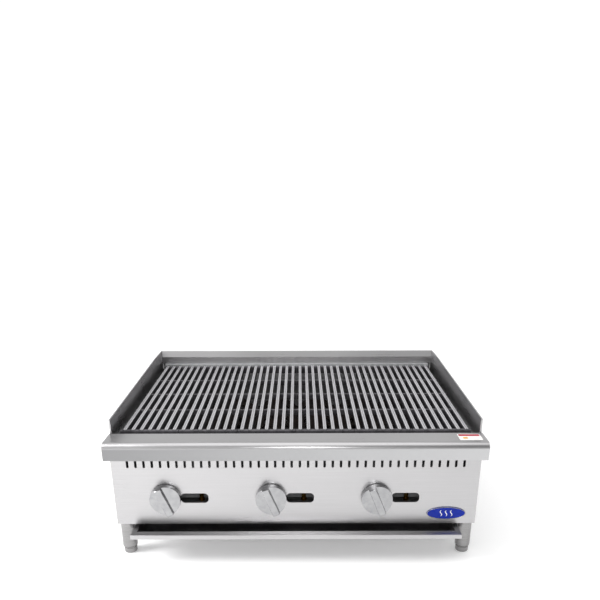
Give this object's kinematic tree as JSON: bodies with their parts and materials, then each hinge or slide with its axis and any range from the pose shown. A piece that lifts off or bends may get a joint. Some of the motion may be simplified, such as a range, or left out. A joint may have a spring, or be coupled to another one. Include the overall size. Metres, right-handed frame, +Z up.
{
  "type": "countertop gas charbroiler grill",
  "caption": "Countertop gas radiant charbroiler: stainless body with ledge and splash guards, lift-out cast-iron grates, control knobs, pull-out crumb tray and adjustable feet.",
  "frame": {"origin": "on the floor, under the centre of the outer box", "axes": "+X to the cook's right along the front, +Y to the rear, +Z up"},
  "size_m": [0.914, 0.701, 0.386],
  "materials": {
    "stainless_sheet": "fine brushed grain, satin",
    "galvanised_steel": "dull zinc-coated sheet",
    "grate_iron": "sand-cast, rubbed bright along the bar tops",
    "burner_iron": "sand-cast, matt",
    "knob_chrome": "satin chrome plate",
    "plain_steel": "turned and zinc plated",
    "valve_alloy": "die-cast, matt",
    "brass": "machined",
    "tube_aluminium": "drawn tube",
    "black_pipe": "dull coated steel pipe",
    "leg_steel": "turned stainless, satin",
    "badge_enamel": "gloss blue enamel with a bright rim"
  },
  "bodies": {
    "root": {"centre_burner": "burner_iron", "centre_gas_valve": "valve_alloy", "centre_radiant": "burner_iron", "cross_rails": "galvanised_steel", "front_burner_support": "galvanised_steel", "front_firebox_wall": "galvanised_steel", "front_grate_rest": "galvanised_steel", "front_ledge": "stainless_sheet", "front_panel": "stainless_sheet", "gas_manifold": "black_pipe", "left_base_rail": "galvanised_steel", "left_burner": "burner_iron", "left_firebox_wall": "galvanised_steel", "left_gas_valve": "valve_alloy", "left_radiant": "burner_iron", "left_side_panel": "stainless_sheet", "left_splash_guard": "stainless_sheet", "legs": "leg_steel", "manifold_brackets": "galvanised_steel", "orifice_hoods": "brass", "oval_badge": "badge_enamel", "panel_screws": "plain_steel", "pilot_burners": "plain_steel", "pilot_tubes": "tube_aluminium", "pilot_valves": "brass", "rear_burner_support": "galvanised_steel", "rear_firebox_wall": "galvanised_steel", "rear_grate_rest": "galvanised_steel", "rear_inlet_fitting": "black_pipe", "rear_panel": "stainless_sheet", "rear_splash_guard": "stainless_sheet", "right_base_rail": "galvanised_steel", "right_burner": "burner_iron", "right_firebox_wall": "galvanised_steel", "right_gas_valve": "valve_alloy", "right_radiant": "burner_iron", "right_side_panel": "stainless_sheet", "right_splash_guard": "stainless_sheet", "supply_pipe": "black_pipe"},
    "left_knob": {"left_knob": "knob_chrome", "left_valve_stem": "plain_steel"},
    "left_air_shutter": {"left_air_shutter": "plain_steel"},
    "centre_knob": {"centre_knob": "knob_chrome", "centre_valve_stem": "plain_steel"},
    "centre_air_shutter": {"centre_air_shutter": "plain_steel"},
    "right_knob": {"right_knob": "knob_chrome", "right_valve_stem": "plain_steel"},
    "right_air_shutter": {"right_air_shutter": "plain_steel"},
    "grate_1": {"grate_1": "grate_iron"},
    "grate_2": {"grate_2": "grate_iron"},
    "grate_3": {"grate_3": "grate_iron"},
    "grate_4": {"grate_4": "grate_iron"},
    "grate_5": {"grate_5": "grate_iron"},
    "grate_6": {"grate_6": "grate_iron"},
    "crumb_tray": {"crumb_tray": "stainless_sheet"},
    "front_left_foot": {"front_left_foot": "leg_steel"},
    "front_right_foot": {"front_right_foot": "leg_steel"},
    "rear_left_foot": {"rear_left_foot": "leg_steel"},
    "rear_right_foot": {"rear_right_foot": "leg_steel"}
  },
  "joints": [
    {"name": "left_knob_turn", "type": "hinge", "parent": "root", "child": "left_knob", "pos_m": [-0.32627, -0.3043, 0.165], "axis": [0, -1, 0], "range_deg": [0, 90]},
    {"name": "left_air_shutter_turn", "type": "hinge", "parent": "root", "child": "left_air_shutter", "pos_m": [-0.32627, -0.223, 0.165], "axis": [0, 1, 0], "range_deg": [0, 90]},
    {"name": "centre_knob_turn", "type": "hinge", "parent": "root", "child": "centre_knob", "pos_m": [-0.062, -0.3043, 0.165], "axis": [0, -1, 0], "range_deg": [0, 90]},
    {"name": "centre_air_shutter_turn", "type": "hinge", "parent": "root", "child": "centre_air_shutter", "pos_m": [-0.062, -0.223, 0.165], "axis": [0, 1, 0], "range_deg": [0, 90]},
    {"name": "right_knob_turn", "type": "hinge", "parent": "root", "child": "right_knob", "pos_m": [0.20227, -0.3043, 0.165], "axis": [0, -1, 0], "range_deg": [0, 90]},
    {"name": "right_air_shutter_turn", "type": "hinge", "parent": "root", "child": "right_air_shutter", "pos_m": [0.20227, -0.223, 0.165], "axis": [0, 1, 0], "range_deg": [0, 90]},
    {"name": "grate_1_lift", "type": "slide", "parent": "root", "child": "grate_1", "axis": [0, 0, 1], "range_m": [0, 0.12]},
    {"name": "grate_2_lift", "type": "slide", "parent": "root", "child": "grate_2", "axis": [0, 0, 1], "range_m": [0, 0.12]},
    {"name": "grate_3_lift", "type": "slide", "parent": "root", "child": "grate_3", "axis": [0, 0, 1], "range_m": [0, 0.12]},
    {"name": "grate_4_lift", "type": "slide", "parent": "root", "child": "grate_4", "axis": [0, 0, 1], "range_m": [0, 0.12]},
    {"name": "grate_5_lift", "type": "slide", "parent": "root", "child": "grate_5", "axis": [0, 0, 1], "range_m": [0, 0.12]},
    {"name": "grate_6_lift", "type": "slide", "parent": "root", "child": "grate_6", "axis": [0, 0, 1], "range_m": [0, 0.12]},
    {"name": "crumb_tray_slide", "type": "slide", "parent": "root", "child": "crumb_tray", "axis": [0, -1, 0], "range_m": [0, 0.55]},
    {"name": "front_left_foot_screw", "type": "slide", "parent": "root", "child": "front_left_foot", "axis": [0, 0, -1], "range_m": [0, 0.025]},
    {"name": "front_right_foot_screw", "type": "slide", "parent": "root", "child": "front_right_foot", "axis": [0, 0, -1], "range_m": [0, 0.025]},
    {"name": "rear_left_foot_screw", "type": "slide", "parent": "root", "child": "rear_left_foot", "axis": [0, 0, -1], "range_m": [0, 0.025]},
    {"name": "rear_right_foot_screw", "type": "slide", "parent": "root", "child": "rear_right_foot", "axis": [0, 0, -1], "range_m": [0, 0.025]}
  ]
}
